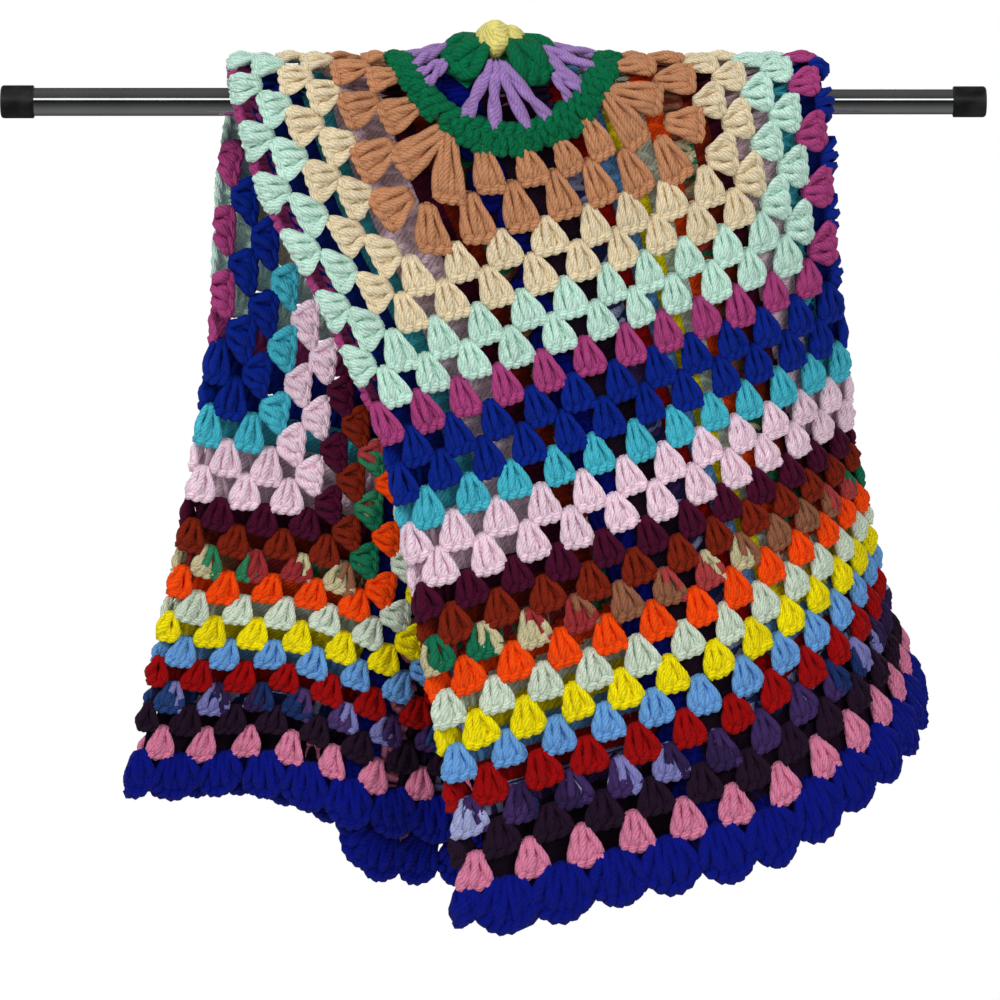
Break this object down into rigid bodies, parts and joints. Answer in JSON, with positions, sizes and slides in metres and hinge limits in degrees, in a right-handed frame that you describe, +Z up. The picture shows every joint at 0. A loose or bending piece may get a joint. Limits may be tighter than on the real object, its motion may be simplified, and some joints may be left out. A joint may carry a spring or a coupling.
{
  "type": "granny square blanket on a telescoping hanging rod",
  "caption": "Multicoloured crocheted granny square blanket, folded lengthwise in three and draped askew over a thin chrome rod with black rubber ends.",
  "frame": {"origin": "centre of the flat outer face of the left end cap, on the rod's axis", "axes": "+X along the rod to the right end, +Z up, -Y towards the side where the blanket's middle panel faces"},
  "size_m": [0.5837, 0.1195, 0.5226],
  "materials": {
    "yarn": "plied acrylic yarn in many colours, crocheted, matt and slightly fuzzy",
    "chrome": "bright chromed steel tube",
    "rubber": "matt black moulded rubber"
  },
  "bodies": {
    "root": {"blanket": "yarn", "rod_outer_tube": "chrome", "rod_inner_tube": "chrome", "end_cap_left": "rubber", "end_cap_right": "rubber"}
  },
  "joints": []
}
